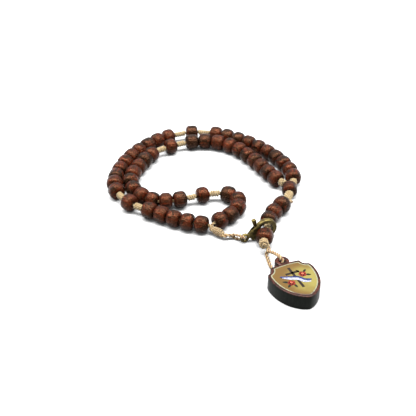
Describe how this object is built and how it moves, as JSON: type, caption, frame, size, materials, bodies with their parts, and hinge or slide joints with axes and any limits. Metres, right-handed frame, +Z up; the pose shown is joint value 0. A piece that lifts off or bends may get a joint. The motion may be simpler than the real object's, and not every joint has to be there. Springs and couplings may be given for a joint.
{
  "type": "rosary bracelet",
  "caption": "Prayer bead bracelet of two strands of turned wooden beads with wound cord knots, closed by a sprung hook clasp, with a thick shield-shaped pendant.",
  "frame": {"origin": "centre of the bounding box in plan, on the surface that the bracelet lies on", "axes": "+Z up from the surface, +Y from the pendant's end to the far side of the loop, +X to the right as seen from the pendant's side"},
  "size_m": [0.0832, 0.1214, 0.0099],
  "materials": {
    "wood": "satin",
    "cord": "matte",
    "old_brass": "satin",
    "varnished_wood": "gloss",
    "printed_plate": "gloss"
  },
  "bodies": {
    "rosary": {"bead_string_front_outer": "wood", "bead_string_left_outer": "wood", "bead_string_right_outer": "wood", "bead_string_front_inner": "wood", "bead_string_left_inner": "wood", "bead_string_right_inner": "wood", "main_bead_1": "wood", "main_bead_2": "wood", "main_bead_3": "wood", "main_bead_4": "wood", "junction_bead": "wood", "tail_bead_1": "wood", "tail_bead_2": "wood", "tail_bead_3": "wood", "end_bead": "wood", "outer_knot_1": "cord", "outer_knot_2": "cord", "outer_knot_3": "cord", "outer_knot_4": "cord", "outer_knot_5": "cord", "inner_knot_1": "cord", "inner_knot_2": "cord", "inner_knot_3": "cord", "inner_knot_4": "cord", "inner_knot_5": "cord", "tail_knot": "cord", "held_knot": "cord", "end_knot": "cord", "joining_knot": "cord", "outer_cord": "cord", "inner_cord": "cord", "tail_cord": "cord", "clasp_cord": "cord", "pendant_cord": "cord", "clasp_body": "old_brass", "clasp_rivet": "old_brass", "pendant_body": "varnished_wood", "pendant_plate": "printed_plate"},
    "lever": {"clasp_lever": "old_brass"}
  },
  "joints": [
    {"name": "lever_hinge", "type": "hinge", "parent": "rosary", "child": "lever", "pos_m": [0.02039, -0.02005, 0.0028], "axis": [0.342, -0.9397, 0], "range_deg": [0, 15], "stiffness_Nm_per_rad": 0.0001, "springref_deg": -17.19}
  ]
}
